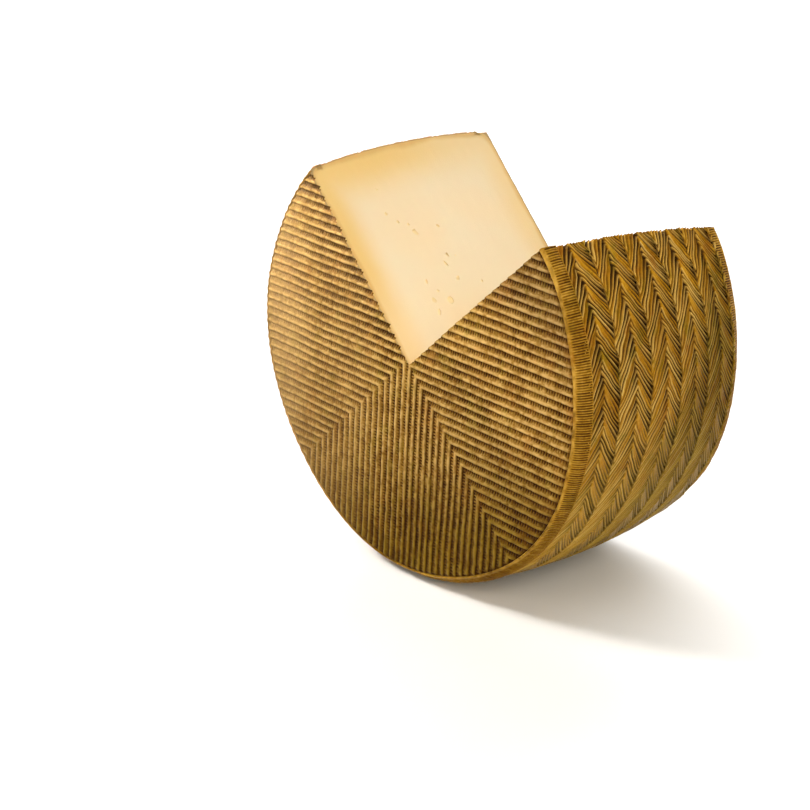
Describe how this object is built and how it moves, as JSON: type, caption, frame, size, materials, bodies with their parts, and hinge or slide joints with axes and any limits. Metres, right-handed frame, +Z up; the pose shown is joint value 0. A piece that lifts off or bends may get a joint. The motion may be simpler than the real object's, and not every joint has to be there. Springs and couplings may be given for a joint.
{
  "type": "aged sheep cheese",
  "caption": "Aged sheep cheese wheel with a plaited rim and ridged faces, standing on its rim, with a wedge cut out.",
  "frame": {"origin": "on the surface that the wheel stands on, below the middle of its axis", "axes": "+Z up, +Y along the wheel's axis from the shown face to the back face, +X to the right of the shown face"},
  "size_m": [0.2, 0.099, 0.1777],
  "materials": {
    "rind": "hard golden-brown rind with a dull waxy sheen, pressed into a plait and fine ridges, darker in the grooves",
    "paste": "smooth matte ivory cheese, deeper yellow towards the rind, with few small eyes"
  },
  "bodies": {
    "root": {"cheese": "rind"}
  },
  "joints": []
}
